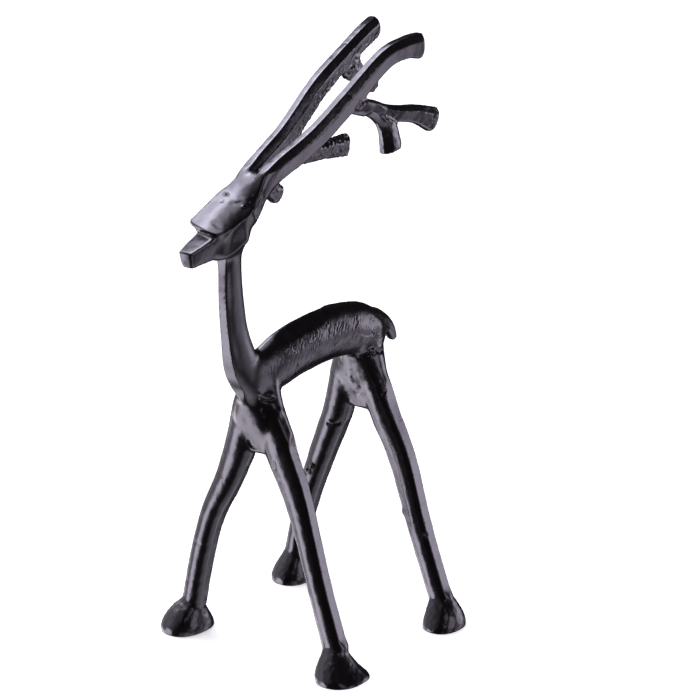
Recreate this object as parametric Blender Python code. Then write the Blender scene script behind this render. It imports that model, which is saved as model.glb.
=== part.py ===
"""A reindeer figure cast in one piece, in metres: +Z up, the animal facing -Y, its left side at +X."""

import math

import bmesh
import bpy
from mathutils import Vector

MM = 0.001

# How the limbs are drawn. Lengths are in millimetres, here and below. An outline's power makes it round at 2
# and squarer above it. A dome is a limb's rounded end, as a share of the limb's depth there.
SIDES = 16
RING_STEP = 9.0
SOFT = 2.3
SQUARE = 3.4
BOXY = 5.0
ROUND_END = 0.7
BLUNT_END = 0.15
DOME_ANGLES = (30, 58, 80)

# How they become one skin: it is wrapped over them, softened where they join, and thinned. Softening shrinks
# it, so every limb is drawn larger by the growth.
SKIN_VOXEL = 1.5
SOFTENING_ROUNDS = 6
SOFTENING = 0.5
KEPT_SHARE = 0.088
GROWTH = 0.35
SLIVER = 0.05
CREASE_ANGLE = 40

# Each limb is a list of stations: x, y and z of its centre line, then half its width and half its depth.
# The trunk runs from the chest to the rump, and the neck from the tongue over the chest to the throat.
TRUNK = [(0, -62, 199, 8, 12), (0, -45, 199, 11.5, 17), (0, -20, 203.4, 12, 17.8), (0, 12, 204.4, 12, 17.6),
         (0, 42, 200, 12.5, 17), (0, 60, 191, 9, 14)]
TAIL = [(0, 46, 206, 8, 6), (0, 63, 204, 6, 4.5), (0, 76, 194, 4.5, 3.2), (0, 83, 183, 3, 2)]
NECK = [(0, -58, 168, 5, 8), (0, -62, 185, 7, 12), (0, -74, 206, 5.5, 13), (0, -80.5, 228, 4.4, 10),
        (0, -83.5, 250, 4.2, 9), (-0.8, -83.6, 272, 4.2, 8), (-1, -83, 284, 6, 9.5), (-1, -80, 296, 10, 12)]
CHEST = [(0, -59, 200, 7, 11), (0, -57, 184, 12, 13.5), (0, -57, 168, 14.5, 11), (0, -56, 154, 17, 7),
         (0, -56, 144, 10, 4.5)]
HIPS = [(0, 50, 198, 9, 14), (0, 50, 180, 12, 12), (0, 50, 164, 17, 9), (0, 51, 148, 9, 5)]
JAW = [(-1, -105, 292, 8.6, 7.2), (-1, -94, 291, 9.2, 8.8), (-1, -80, 293, 8, 9)]
LIP = [(-11.4, -106, 304.2, 3, 3), (-1, -108.4, 303.2, 3.4, 3.4), (9, -106.6, 302.2, 2.8, 2.8)]

# The face is a flat plane that climbs from the lip to the antlers. Each row gives a distance along it, the
# head's thickness below it there, and half its width. The flat is where the plane cuts the head's outline,
# as a share of its half depth.
FACE_FRONT = Vector((-1.4, -108, 305.8))
FACE_SLOPE = math.radians(23)
FACE_FLAT = 0.72
FACE = [(3, 14, 12.4), (12, 22, 13), (22, 24, 13), (32, 20.5, 12.8), (42, 14, 11.8), (53, 10, 10.4)]

# The snout is a blunt wedge under the lip. Its tip and its root in the head each give the half width, y and z
# of the upper edge, then those of the lower edge.
SNOUT_TIP = ((4.8, -127, 293), (3.8, -124.5, 283.5))
SNOUT_ROOT = ((9.6, -100, 301.6), (5.6, -100, 284.8))

# Each leg runs from the body to its ankle, and its hoof flares from there to the middle of its sole.
LEGS = {
    "leftFront": [(9, -56, 174, 8, 6), (16, -56, 150, 11.5, 6), (30.5, -56, 120, 10, 5.6),
                  (40, -56, 90, 8.2, 5.6), (50, -56, 56, 7.8, 5.6), (60.5, -55, 20, 7.8, 5.8)],
    "rightFront": [(-8, -56, 174, 8, 6), (-13, -56, 150, 11.5, 6), (-25.5, -56, 120, 9.6, 5.6),
                   (-42, -56, 88, 7.8, 5.6), (-52.5, -56, 54, 7.6, 5.6), (-60.5, -55, 20, 7.8, 5.8)],
    "leftRear": [(5, 50, 186, 7, 9), (8, 50, 166, 10, 7.4), (19, 51, 142, 10.6, 6.2),
                 (33, 52, 112, 9.2, 5.8), (47.5, 53, 66, 7.8, 5.6), (64, 54, 20, 7.8, 5.8)],
    "rightRear": [(-8, 51, 184, 7, 9), (-13.6, 51, 162, 9.8, 7.4), (-21, 51, 134, 9, 6.2),
                  (-37.5, 52, 96, 8.6, 5.8), (-52, 53, 58, 7.4, 5.6), (-61.5, 54, 20, 7.4, 5.8)],
}
SOLES = {"leftFront": (67.5, -54.5), "rightFront": (-65.5, -54.5),
         "leftRear": (67.5, 53), "rightRear": (-63.5, 53)}
FRONT_HOOF = (15.5, 20.5)
REAR_HOOF = (13.0, 16.0)
HOOF_HEIGHT = 24.0
HOOF_RINGS = (1.0, 0.8, 0.6, 0.42, 0.25, 0.1, 0.0, -0.15)
ANKLE_SHARE = 0.8

# The beams sweep back from the head and splay apart; the tines leave them rearward and down.
LEFT_ANTLER = [
    [(5.5, -76, 310.5, 4.4, 6.5), (6.5, -66, 317, 4.4, 7.2), (8, -50, 328.5, 4.4, 7.4),
     (11, -15, 343, 4.5, 7.6), (15, 14, 361.5, 4.5, 7.8), (19, 46, 382.5, 4.5, 6.8), (21, 66, 388.5, 4.8, 7),
     (22, 79, 386, 5, 8.8)],
    [(15, 14, 361.5, 4, 5.6), (19, 36, 354, 4, 5.6), (22, 58, 347.5, 4, 5.2), (24, 90, 337, 4.4, 7.6)],
    [(18, 36, 354, 4, 5), (21, 48, 343, 4.4, 7), (23, 49.5, 328, 5, 8)],
]
RIGHT_ANTLER = [
    [(-7.5, -76, 310.5, 4.4, 6.5), (-7.5, -66, 317, 4.4, 7.4), (-8, -47, 328, 4.4, 8.2),
     (-11, -14, 342.6, 4.5, 8.8), (-15, 20, 363.5, 4.5, 8), (-18, 50, 377, 4.5, 7.4), (-20, 74, 387, 4.8, 7.4),
     (-22, 88, 391.5, 5, 7.8)],
    [(-17, 50, 379, 4, 8), (-18.5, 60, 371.5, 4, 9), (-19, 71, 362, 4, 5.6), (-20, 85, 353.5, 4.4, 5.6)],
    [(-8, -48, 324, 4, 6), (-10, -18, 326, 4, 5.4), (-13, 22, 323.5, 4, 5.6), (-15, 49, 321, 4.6, 7.2)],
    [(-8, -50, 323, 3.6, 5), (-9, -38, 314, 4, 5.4), (-10, -26, 305.5, 4.4, 6)],
]

# The finish: a near-black, satin cast metal
METAL_COLOUR = (0.022, 0.019, 0.022, 1)
METALNESS = 0.85
ROUGHNESS = 0.3


def clearScene():
    for thing in list(bpy.data.objects):
        bpy.data.objects.remove(thing, do_unlink=True)


def spline(values, place):
    """Read a Catmull-Rom curve through the values at a place that runs from 0 to their count less one."""
    last = len(values) - 1
    index = min(int(place), last - 1)
    t = place - index
    before = values[max(index - 1, 0)]
    start = values[index]
    end = values[index + 1]
    after = values[min(index + 2, last)]
    result = []
    for a, b, c, d in zip(before, start, end, after):
        bend = (2 * a - 5 * b + 4 * c - d) * t * t + (3 * b - a - 3 * c + d) * t ** 3
        result.append(0.5 * (2 * b + (c - a) * t + bend))
    return result


def outline(power, flat=1):
    """Unit points around a limb of the given power, cut off where its depth passes the flat."""
    points = []
    for index in range(SIDES):
        angle = 2 * math.pi * (index + 0.5) / SIDES
        across = math.cos(angle)
        deep = math.sin(angle)
        reach = (abs(across) ** power + abs(deep) ** power) ** (-1 / power)
        points.append((across * reach, max(deep * reach, -flat)))
    return points


def headingAt(stations, place):
    """The direction of a limb's centre line at a place along its stations."""
    step = 0.02
    ahead = spline(stations, min(place + step, len(stations) - 1))
    behind = spline(stations, max(place - step, 0))
    return (Vector(ahead[:3]) - Vector(behind[:3])).normalized()


def framesAlong(stations, across):
    """Evenly spaced frames of a limb: centre, heading, and its half width and half depth as vectors."""
    length = sum((Vector(b[:3]) - Vector(a[:3])).length for a, b in zip(stations, stations[1:]))
    count = max(2, round(length / RING_STEP))
    frames = []
    for index in range(count + 1):
        place = (len(stations) - 1) * index / count
        here = spline(stations, place)
        heading = headingAt(stations, place)
        side = (across - heading * across.dot(heading)).normalized()
        deep = heading.cross(side)
        frames.append((Vector(here[:3]), heading, side * (here[3] + GROWTH), deep * (here[4] + GROWTH)))
    return frames


def domed(frames, domes):
    """Add shrinking frames past both ends, so that a limb ends in domes of the given shares of its depth."""
    caps = []
    for end, share in zip((0, -1), domes):
        centre, heading, side, deep = frames[end]
        out = -heading if end == 0 else heading
        cap = []
        for angle in map(math.radians, DOME_ANGLES):
            reach = deep.length * share * math.sin(angle)
            cap.append((centre + out * reach, heading, side * math.cos(angle), deep * math.cos(angle)))
        caps.append(cap)
    return caps[0][::-1] + frames + caps[1]


def addRings(build, rings):
    """Skin a closed tube over the rings and add it to the bmesh that gathers the limbs."""
    rows = [[build.verts.new(point * MM) for point in ring] for ring in rings]
    faces = [build.faces.new(rows[0][::-1]), build.faces.new(rows[-1])]
    for lower, upper in zip(rows, rows[1:]):
        for index in range(len(lower)):
            following = (index + 1) % len(lower)
            faces.append(build.faces.new((lower[index], lower[following], upper[following], upper[index])))
    bmesh.ops.recalc_face_normals(build, faces=faces)


def addLimb(build, stations, power=SOFT, domes=(ROUND_END, ROUND_END), across=(1, 0, 0), flat=1):
    """Add a tube through the stations, whose widths are measured along the direction called across."""
    unit = outline(power, flat)
    frames = domed(framesAlong(stations, Vector(across)), domes)
    addRings(build, [[centre + side * a + deep * b for a, b in unit] for centre, _, side, deep in frames])


def faceStations():
    """Hang the head below its face plane: the flat share of each section touches the plane."""
    along = Vector((0, math.cos(FACE_SLOPE), math.sin(FACE_SLOPE)))
    out = Vector((0, -math.sin(FACE_SLOPE), math.cos(FACE_SLOPE)))
    stations = []
    for distance, thickness, halfWidth in FACE:
        halfDepth = thickness / (1 + FACE_FLAT)
        centre = FACE_FRONT + along * distance - out * halfDepth * FACE_FLAT
        stations.append((*centre, halfWidth, halfDepth))
    return stations


def addHoof(build, name):
    """A hoof whose toe bulges and whose heel flares down to the sole, and a little below the ground."""
    ankleX, ankleY, _, ankleHalf, ankleDepth = LEGS[name][-1]
    soleHalf, soleDepth = FRONT_HOOF if "Front" in name else REAR_HOOF
    sole = Vector(SOLES[name] + (0,))
    ankle = Vector((ankleX, ankleY, HOOF_HEIGHT))
    rings = []
    for share in HOOF_RINGS:
        height = max(share, 0)
        centre = sole.lerp(ankle, height)
        centre.z = share * HOOF_HEIGHT
        toe = math.cos(math.pi / 2 * height)
        heel = 1 - height
        ring = []
        for a, b in outline(SOFT):
            flare = toe if b < 0 else heel
            halfWidth = ankleHalf * ANKLE_SHARE + (soleHalf - ankleHalf * ANKLE_SHARE) * (toe + heel) / 2
            halfDepth = ankleDepth * ANKLE_SHARE + (soleDepth - ankleDepth * ANKLE_SHARE) * flare
            ring.append(centre + Vector((a * halfWidth, b * halfDepth, 0)))
        rings.append(ring)
    addRings(build, rings)


def limbsMesh():
    """The limbs as closed tubes that overlap where they join."""
    mesh = bpy.data.meshes.new("limbs")
    build = bmesh.new()
    for stations in (TRUNK, TAIL):
        addLimb(build, stations)
    for stations in (NECK, CHEST, HIPS, JAW):
        addLimb(build, stations, SQUARE)
    addLimb(build, faceStations(), BOXY, domes=(BLUNT_END, ROUND_END), flat=FACE_FLAT)
    addLimb(build, LIP, across=(0, 0, 1))
    for name, stations in LEGS.items():
        addLimb(build, stations, SQUARE)
        addHoof(build, name)
    for stations in LEFT_ANTLER + RIGHT_ANTLER:
        addLimb(build, stations, SQUARE)
    build.to_mesh(mesh)
    build.free()
    return mesh


def snoutMesh():
    mesh = bpy.data.meshes.new("snout")
    build = bmesh.new()
    for halfWidth, y, z in SNOUT_TIP + SNOUT_ROOT:
        for x in (-halfWidth, halfWidth):
            build.verts.new(Vector((x, y, z)) * MM)
    bmesh.ops.convex_hull(build, input=build.verts)
    bmesh.ops.recalc_face_normals(build, faces=build.faces)
    build.to_mesh(mesh)
    build.free()
    return mesh


def castFigure(limbs, snout):
    """Wrap the overlapping limbs in one skin, soften its joins, thin its triangles and add the snout."""
    skin = limbs.modifiers.new("skin", "REMESH")
    skin.mode = "VOXEL"
    skin.voxel_size = SKIN_VOXEL * MM
    soften = limbs.modifiers.new("soften", "SMOOTH")
    soften.factor = SOFTENING
    soften.iterations = SOFTENING_ROUNDS
    thin = limbs.modifiers.new("thin", "DECIMATE")
    thin.ratio = KEPT_SHARE
    fuse = limbs.modifiers.new("fuse", "BOOLEAN")
    fuse.operation = "UNION"
    fuse.solver = "EXACT"
    fuse.object = snout
    depsgraph = bpy.context.evaluated_depsgraph_get()
    return bpy.data.meshes.new_from_object(limbs.evaluated_get(depsgraph))


def cutSoles(build):
    """Cut the hooves off flat at the ground."""
    geometry = build.verts[:] + build.edges[:] + build.faces[:]
    cut = bmesh.ops.bisect_plane(build, geom=geometry, dist=1e-6, plane_co=(0, 0, 0), plane_no=(0, 0, -1),
                                 clear_outer=True)
    rim = [item for item in cut["geom_cut"] if isinstance(item, bmesh.types.BMEdge)]
    bmesh.ops.holes_fill(build, edges=rim)
    bmesh.ops.dissolve_degenerate(build, dist=SLIVER * MM, edges=build.edges)


def centreOnGround(build):
    """Move the figure so that the origin lies on the ground, at the middle of its bounding box."""
    xs = [vertex.co.x for vertex in build.verts]
    ys = [vertex.co.y for vertex in build.verts]
    middle = Vector(((min(xs) + max(xs)) / 2, (min(ys) + max(ys)) / 2, 0))
    bmesh.ops.translate(build, verts=build.verts, vec=-middle)


def trim(mesh):
    build = bmesh.new()
    build.from_mesh(mesh)
    cutSoles(build)
    centreOnGround(build)
    bmesh.ops.triangulate(build, faces=[face for face in build.faces if len(face.verts) > 4])
    bmesh.ops.recalc_face_normals(build, faces=build.faces)
    build.to_mesh(mesh)
    build.free()


def blackCastMetal():
    material = bpy.data.materials.new("black cast metal")
    material.use_nodes = True
    shader = material.node_tree.nodes["Principled BSDF"]
    shader.inputs["Base Color"].default_value = METAL_COLOUR
    shader.inputs["Metallic"].default_value = METALNESS
    shader.inputs["Roughness"].default_value = ROUGHNESS
    return material


def main():
    clearScene()
    limbs = bpy.data.objects.new("limbs", limbsMesh())
    snout = bpy.data.objects.new("snout", snoutMesh())
    for piece in (limbs, snout):
        bpy.context.scene.collection.objects.link(piece)
    mesh = castFigure(limbs, snout)
    clearScene()
    trim(mesh)
    mesh.name = "reindeer"
    mesh.materials.clear()
    mesh.materials.append(blackCastMetal())
    mesh.shade_smooth()
    mesh.set_sharp_from_angle(angle=math.radians(CREASE_ANGLE))
    bpy.context.scene.collection.objects.link(bpy.data.objects.new("reindeer", mesh))


main()
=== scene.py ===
import math

import bmesh
import bpy
import numpy as np
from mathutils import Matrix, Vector


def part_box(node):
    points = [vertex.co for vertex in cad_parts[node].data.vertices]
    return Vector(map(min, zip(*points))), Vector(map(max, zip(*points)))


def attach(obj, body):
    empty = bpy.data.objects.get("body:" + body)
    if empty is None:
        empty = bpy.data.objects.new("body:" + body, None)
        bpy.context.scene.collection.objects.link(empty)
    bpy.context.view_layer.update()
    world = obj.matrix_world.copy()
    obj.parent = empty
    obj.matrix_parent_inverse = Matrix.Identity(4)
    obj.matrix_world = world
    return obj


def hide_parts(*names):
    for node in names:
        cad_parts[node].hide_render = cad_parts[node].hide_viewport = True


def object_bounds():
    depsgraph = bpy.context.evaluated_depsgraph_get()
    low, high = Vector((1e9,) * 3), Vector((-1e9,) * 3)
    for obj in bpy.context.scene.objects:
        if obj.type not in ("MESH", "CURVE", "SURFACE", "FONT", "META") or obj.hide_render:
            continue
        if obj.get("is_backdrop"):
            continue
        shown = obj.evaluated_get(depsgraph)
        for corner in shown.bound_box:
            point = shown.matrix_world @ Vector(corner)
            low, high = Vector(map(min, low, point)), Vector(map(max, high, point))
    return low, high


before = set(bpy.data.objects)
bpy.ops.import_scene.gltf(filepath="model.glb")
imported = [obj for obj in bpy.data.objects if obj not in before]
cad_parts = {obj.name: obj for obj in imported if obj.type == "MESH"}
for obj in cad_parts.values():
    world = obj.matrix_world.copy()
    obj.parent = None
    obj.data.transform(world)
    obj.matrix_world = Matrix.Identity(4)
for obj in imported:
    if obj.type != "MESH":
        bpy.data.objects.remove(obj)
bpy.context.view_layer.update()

mm = 0.001


class Value:
    # A shader socket that takes part in sums
    def __init__(self, nodes, socket):
        self.nodes, self.socket = nodes, socket

    def maths(self, operation, first, second):
        return self.nodes.add("ShaderNodeMath", {"operation": operation}, {0: first, 1: second})

    def __add__(self, other):
        return self.maths("ADD", self, other)

    def __radd__(self, other):
        return self.maths("ADD", other, self)

    def __sub__(self, other):
        return self.maths("SUBTRACT", self, other)

    def __rsub__(self, other):
        return self.maths("SUBTRACT", other, self)

    def __mul__(self, other):
        return self.maths("MULTIPLY", self, other)

    def __rmul__(self, other):
        return self.maths("MULTIPLY", other, self)

    def __truediv__(self, other):
        return self.maths("DIVIDE", self, other)

    def __rtruediv__(self, other):
        return self.maths("DIVIDE", other, self)

    def sine(self):
        return self.maths("SINE", self, 0)


class Nodes:
    # Adds nodes to a tree; values and sockets go in by the name or the number of the input
    def __init__(self, tree):
        self.tree = tree

    def add(self, kind, settings=None, values=None, output=0):
        node = self.tree.nodes.new(kind)
        for name, value in (settings or {}).items():
            setattr(node, name, value)
        for name, value in (values or {}).items():
            if isinstance(value, Value):
                self.tree.links.new(value.socket, node.inputs[name])
            else:
                node.inputs[name].default_value = value
        return Value(self, node.outputs[output]) if node.outputs else None


castMetalSettings = {
    "dark": (0.085, 0.078, 0.084, 1),
    "light": (0.125, 0.12, 0.14, 1),
    "metallic": 1.0,
    "roughness": 0.23,
    "roughnessSpread": 0.1,
    # Painted sheen: the colour is raised towards the top so that the antlers reflect brighter: how much, and
    # the heights where that starts and is complete, in metres
    "paintedAntlerSheen": 1.32,
    "paintedAntlerSheenFrom": 0.318,
    "paintedAntlerSheenTo": 0.334,
    # Clouds change the colour and the roughness, and the grain is the finest bump
    "clouds": {"Scale": 90, "Detail": 6, "Roughness": 0.6},
    "grain": {"Scale": 420, "Detail": 5, "Roughness": 0.55},
    "grainBump": {"Strength": 0.1, "Distance": 0.0003},
}


def castMetal():
    settings = castMetalSettings
    material = bpy.data.materials.new("satin black cast metal")
    material.use_nodes = True
    nodes = Nodes(material.node_tree)
    shader = material.node_tree.nodes["Principled BSDF"]
    place = nodes.add("ShaderNodeTexCoord", output="Object")
    cloud = nodes.add("ShaderNodeTexNoise", {}, {"Vector": place, **settings["clouds"]})
    grain = nodes.add("ShaderNodeTexNoise", {}, {"Vector": place, **settings["grain"]})
    colour = nodes.add("ShaderNodeMix", {"data_type": "RGBA"},
                       {0: cloud, 6: settings["dark"], 7: settings["light"]}, output=2)
    height = nodes.add("ShaderNodeSeparateXYZ", {}, {0: place}, output=2)
    # Painted sheen: the metal's colour is raised from a height upwards, which brightens the antlers'
    # reflections
    paintedAntlerSheen = nodes.add("ShaderNodeMapRange", {"interpolation_type": "SMOOTHSTEP"},
                       {"Value": height, "From Min": settings["paintedAntlerSheenFrom"], "From Max": settings["paintedAntlerSheenTo"],
                        "To Min": 1, "To Max": settings["paintedAntlerSheen"]})
    colour = nodes.add("ShaderNodeVectorMath", {"operation": "SCALE"}, {0: colour, "Scale": paintedAntlerSheen})
    roughness = settings["roughness"] + (cloud - 0.5) * settings["roughnessSpread"]
    bump = nodes.add("ShaderNodeBump", {}, {**settings["grainBump"], "Height": grain})
    links = material.node_tree.links
    links.new(colour.socket, shader.inputs["Base Color"])
    links.new(roughness.socket, shader.inputs["Roughness"])
    links.new(bump.socket, shader.inputs["Normal"])
    shader.inputs["Metallic"].default_value = settings["metallic"]
    return material


# The casting's limbs, in millimetres, with the animal facing -Y. A station is x, y and z of the centre line,
# then half the width and half the depth, which runs down a level limb and back through an upright one. The
# domes are how far a limb bulges at its two ends, in half depths.
limbs = {
    "trunk": {"section": "trunk", "stations": [
        (0, -64, 197, 8.5, 12), (0, -45, 199.4, 11.5, 18.6), (0, -20, 203.4, 12, 18.7),
        (0, 12, 204.4, 12, 18.2), (0, 42, 200, 12.5, 17), (0, 60, 191, 9, 14)]},
    "tail": {"section": "round", "stations": [
        (0, 46, 205, 8, 6), (0, 61.5, 201.4, 7.5, 7), (0, 75, 193.2, 5, 4.2),
        (0, 82.2, 182.6, 3.2, 2.3)]},
    "neck": {"section": "neck", "stations": [
        (-2, -57, 160, 5, 5), (-1.5, -59.5, 171, 7, 8), (0, -62, 185, 7.8, 12),
        (0, -74.4, 206, 6.8, 13.4), (0, -80.4, 228, 4.9, 11), (0, -83.2, 250, 4.4, 10.1),
        (-0.8, -83.2, 272, 4.4, 9.1), (-1, -83, 284, 6, 9.5), (-1, -80, 296, 10, 12)]},
    "chest": {"section": "web", "stations": [
        (0, -59, 200, 6, 11), (-0.4, -58, 184, 10.6, 11.8), (-1, -57, 168, 15, 11),
        (-0.5, -56, 154, 17, 7), (0, -56, 144, 10, 4.5)]},
    "hips": {"section": "web", "stations": [
        (0, 48, 198, 12, 14.5), (0, 50, 182, 12.6, 12.5), (0, 50, 164, 17, 9), (1.4, 51, 145, 11, 5)]},
    "jaw": {"section": "web", "stations": [
        (-1.6, -105, 292, 7.6, 7.2), (-0.7, -94, 291, 9.4, 8.8), (0.4, -80, 296.6, 11.4, 7.6)]},
    "leftFrontLeg": {"section": "leftLeg", "stations": [
        (6, -54, 190, 5.6, 7), (10, -56.6, 174, 7.8, 7.4), (16.8, -56.6, 150, 12, 7.2),
        (30.8, -56.4, 120, 10.8, 6.8), (40.8, -56.4, 90, 9.1, 6.6), (50.8, -56.4, 56, 8.7, 6.6),
        (61.9, -55.4, 20, 9.2, 6.6)]},
    "rightFrontLeg": {"section": "rightLeg", "stations": [
        (-6, -55, 190, 5, 7), (-10.6, -57, 174, 8, 7.8), (-14.2, -56.4, 150, 11, 7.4),
        (-25.4, -56.4, 120, 9.6, 6.5), (-41.2, -56.4, 88, 8.1, 6.5), (-51.5, -56.4, 54, 7.9, 6.5),
        (-59.7, -55.4, 20, 8, 6.5)]},
    "leftRearLeg": {"section": "leftLeg", "stations": [
        (4, 48, 192, 7.5, 11), (6, 49, 180, 9, 10), (9, 49.6, 164, 10.8, 8.3),
        (19, 50.6, 142, 11.1, 7.8), (33.4, 51.6, 112, 10.4, 7.2), (47.8, 52.6, 66, 9, 6.8),
        (64.5, 53.6, 20, 8.4, 6.7)]},
    "rightRearLeg": {"section": "rightLeg", "stations": [
        (-7, 50.4, 190, 7.4, 10), (-13.8, 50.6, 166, 10.8, 8.8), (-21.2, 50.6, 136, 10.2, 8),
        (-37.5, 51.6, 96, 9, 7), (-51.5, 52.6, 58, 7.8, 6.5), (-61, 53.6, 20, 7.8, 6.7)]},
    "leftBeam": {"section": "antler", "domes": (0.3, 0.1), "stations": [
        (5.5, -76, 310.5, 4.4, 6.5), (6.5, -66, 317.4, 4.4, 7.4), (8, -50, 329.2, 4.4, 7.9),
        (11, -15, 343.7, 4.5, 8.1), (15, 14, 362.2, 4.5, 8.3), (19, 46, 384, 4.5, 7.6),
        (21, 66, 388.9, 4.8, 7.6), (22, 81, 388, 5.2, 8.9)]},
    "leftBranch": {"section": "antler", "domes": (0.3, 0.6), "stations": [
        (15, 14, 361.6, 4, 5.2), (18, 36, 354, 4, 5.4), (21.6, 57, 347.4, 4, 5.3),
        (23.4, 74, 343.8, 4.4, 6.3), (24.6, 90, 337.4, 5, 8.8)]},
    "leftTine": {"section": "antler", "domes": (0.3, 0.06), "stations": [
        (15.5, 22, 358, 4, 5), (18.5, 38, 352, 4, 5.6), (21.3, 47.8, 341, 4.4, 7),
        (23, 50.4, 323.6, 5, 8.2)]},
    "rightBeam": {"section": "antler", "domes": (0.3, 0.6), "stations": [
        (-7.5, -76, 310.5, 4.4, 6.5), (-7.5, -66, 317.6, 4.4, 7.8), (-8, -47, 329, 4.4, 8.8),
        (-11, -14, 343.6, 4.5, 9.4), (-15, 20, 364.4, 4.5, 8.6), (-18, 50, 377.8, 4.5, 8),
        (-20, 74, 387.6, 4.8, 7.9), (-22, 88, 391.5, 5, 7.8)]},
    "rightBranch": {"section": "antler", "domes": (0.3, 0.5), "stations": [
        (-17, 50, 379, 4, 8), (-18.5, 60, 371.5, 4, 9), (-19, 71, 362, 4, 5.6),
        (-20, 85, 353.5, 4.4, 5.6)]},
    "rightTine": {"section": "antler", "domes": (0.3, 0.5), "stations": [
        (-8, -48, 324, 4, 6), (-10, -18, 326, 4, 5.4), (-13, 22, 323.8, 4, 6.2),
        (-15, 49, 321.4, 4.6, 7.8)]},
    "rightStub": {"section": "antler", "domes": (0.3, 0.5), "stations": [
        (-8, -50, 324, 3.6, 5), (-9, -38, 314.8, 4, 5.6), (-10, -26, 306.2, 4.4, 6.4)]},
}

# A section is round at a power of 2 and squarer above it: first on the side of negative depth, then on the
# other side
sections = {
    "round": (2.3, 2.3),
    "trunk": (1.75, 2.1),
    "web": (3.2, 3.2),
    "leftLeg": (2.3, 2.0),
    "rightLeg": (2.6, 2.0),
    "neck": (2.3, 2.3),
    "antler": (2.5, 2.7),
    "face": (3.0, 3.4),
}

# The head hangs below its face plane, which climbs from the lip to the antlers. A row gives a distance along
# the plane, the head's thickness there and how far it reaches to the right and to the left.
head = {
    "front": (-1.1, -108, 305.8),
    "slope": 23,  # degrees
    "roll": 6,  # degrees, towards the left
    "flat": 0.72,  # how far the middle lies below the plane, in half depths
    "rows": [(-1, 2.4, 3.1, 7), (-0.4, 3.4, 7.4, 8.8), (0.6, 4.4, 10.2, 10), (1.8, 5, 12, 10.6),
             (3, 5.6, 12.8, 11.4), (4, 8, 13, 12.4), (5.2, 14, 13, 13), (8.5, 19.5, 13, 13),
             (12, 22, 13.2, 13.2), (22, 24.6, 13.2, 13.2), (32, 24, 13, 13), (42, 19, 12, 12),
             (50, 14, 10.5, 10.5), (55, 9, 8, 8)],
    # Right and left corners of the snout: half the width, y and z
    "snout": [(5.4, -127, 293.8), (4.2, -124.5, 282.8), (9.6, -100, 302.2), (5.6, -100, 284.6)],
    # The snout's end turns a little to the left, more the further it stands from its pivot
    "turn": {"share": 0.08, "pivot": -1, "between": (112, 124), "below": 300},
    # The left side narrows from the cheek's ridge, at this x and y, to the snout
    "ridge": (12.9, -78),
    "hollowSlope": 0.34,
    "hollowLength": 18,
    "hollowEdges": {"top": (2, 9), "bottom": 30, "back": 14, "front": (92, 106)},
    # Left of flatTo the face bends down with a radius, less of it near the lip and none behind the brow
    "flatTo": -4.5,
    "nearRadius": 20,
    "lipShare": 0.6,
    "lip": (2, 16),
    "brow": (34, 54),
    "faceReach": {"front": 5, "height": 9, "below": 30},
}

# Each hoof stands round the middle of its sole: half its width and half its depth on the ground, and how full
# it is at its right, left, front and back, where 0 is a hollow flare and 1 a round bell.
hooves = {
    "leftFrontLeg": {"sole": (67.7, -55.2), "size": (16.4, 19.8), "full": (0.8, -0.05, 0.9, 0)},
    "rightFrontLeg": {"sole": (-65.9, -54.5), "size": (15.2, 20.3), "full": (1.6, 0.45, 1.15, 0.4)},
    "leftRearLeg": {"sole": (67.7, 53.2), "size": (13.2, 16.4), "full": (0.6, 1.1, 0.7, 0.9)},
    "rightRearLeg": {"sole": (-63.8, 53.4), "size": (13.8, 16), "full": (1.1, 0.6, 1.1, 0.6)},
}
hoofShape = {
    "height": 24,
    "ankle": (7.8, 5.8),  # the most of a leg's half width and half depth that its hoof takes up
    "ankleShare": 0.8,
    "hollow": 1.6,  # the power of a hollow flare
    "drawnIn": 0.05,  # how much the sole draws in
    "drawnInBelow": 0.14,  # and below which share of the height
    "rings": 17,
    "underground": 0.15,  # how far the last ring lies below the floor, as a share of the height
}

skinSettings = {
    "sides": 64,  # points round a limb
    "step": 1.0,  # between a limb's rings
    "domeAngles": (15, 30, 45, 58, 70, 80),
    "growth": 0.48,  # makes up for what smoothing takes off
    "roughVoxel": 1.1,
    "voxel": 0.62,
    # Rounds of smoothing before the joins are filled, after that and after filing
    "roughRounds": 2,
    "finalRounds": 5,
    "filedRounds": 2,
    "fillRounds": 6,  # rounds of filling away from the fillets
    "shareRounds": 6,  # rounds that blur the shares of the relief
    "triangles": 196000,
    "shortestEdge": 0.02,
}


def spline(values, places):
    values = np.asarray(values, float)
    last = len(values) - 1
    index = np.minimum(places.astype(int), last - 1)
    t = (places - index)[:, None]
    before, start = values[np.maximum(index - 1, 0)], values[index]
    end, after = values[index + 1], values[np.minimum(index + 2, last)]
    bend = (2 * before - 5 * start + 4 * end - after) * t ** 2
    bend = bend + (3 * start - before - 3 * end + after) * t ** 3
    return 0.5 * (2 * start + (end - before) * t + bend)


def unit(vectors):
    return vectors / np.linalg.norm(vectors, axis=-1, keepdims=True)


def framesAlong(stations, across, fixedHeading=None):
    # Frames every millimetre or so: centre, heading, side and deep directions, half width and half depth
    stations = np.asarray(stations, float)
    last = len(stations) - 1
    length = np.linalg.norm(np.diff(stations[:, :3], axis=0), axis=1).sum()
    places = np.linspace(0, last, max(8, round(length / skinSettings["step"])) + 1)
    here = spline(stations, places)
    nudge = 0.02  # of the way from one station to the next
    ahead = spline(stations, np.minimum(places + nudge, last))
    behind = spline(stations, np.maximum(places - nudge, 0))
    heading = unit(ahead[:, :3] - behind[:, :3])
    if fixedHeading is not None:
        heading = np.tile(fixedHeading, (len(places), 1))
    across = np.asarray(across, float)
    side = unit(across - heading * (heading @ across)[:, None])
    travelled = np.concatenate([[0], np.linalg.norm(np.diff(here[:, :3], axis=0), axis=1).cumsum()])
    return {"centre": here[:, :3], "heading": heading, "side": side, "deep": np.cross(heading, side),
            "half": here[:, 3:5] + skinSettings["growth"], "travelled": travelled}


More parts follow.
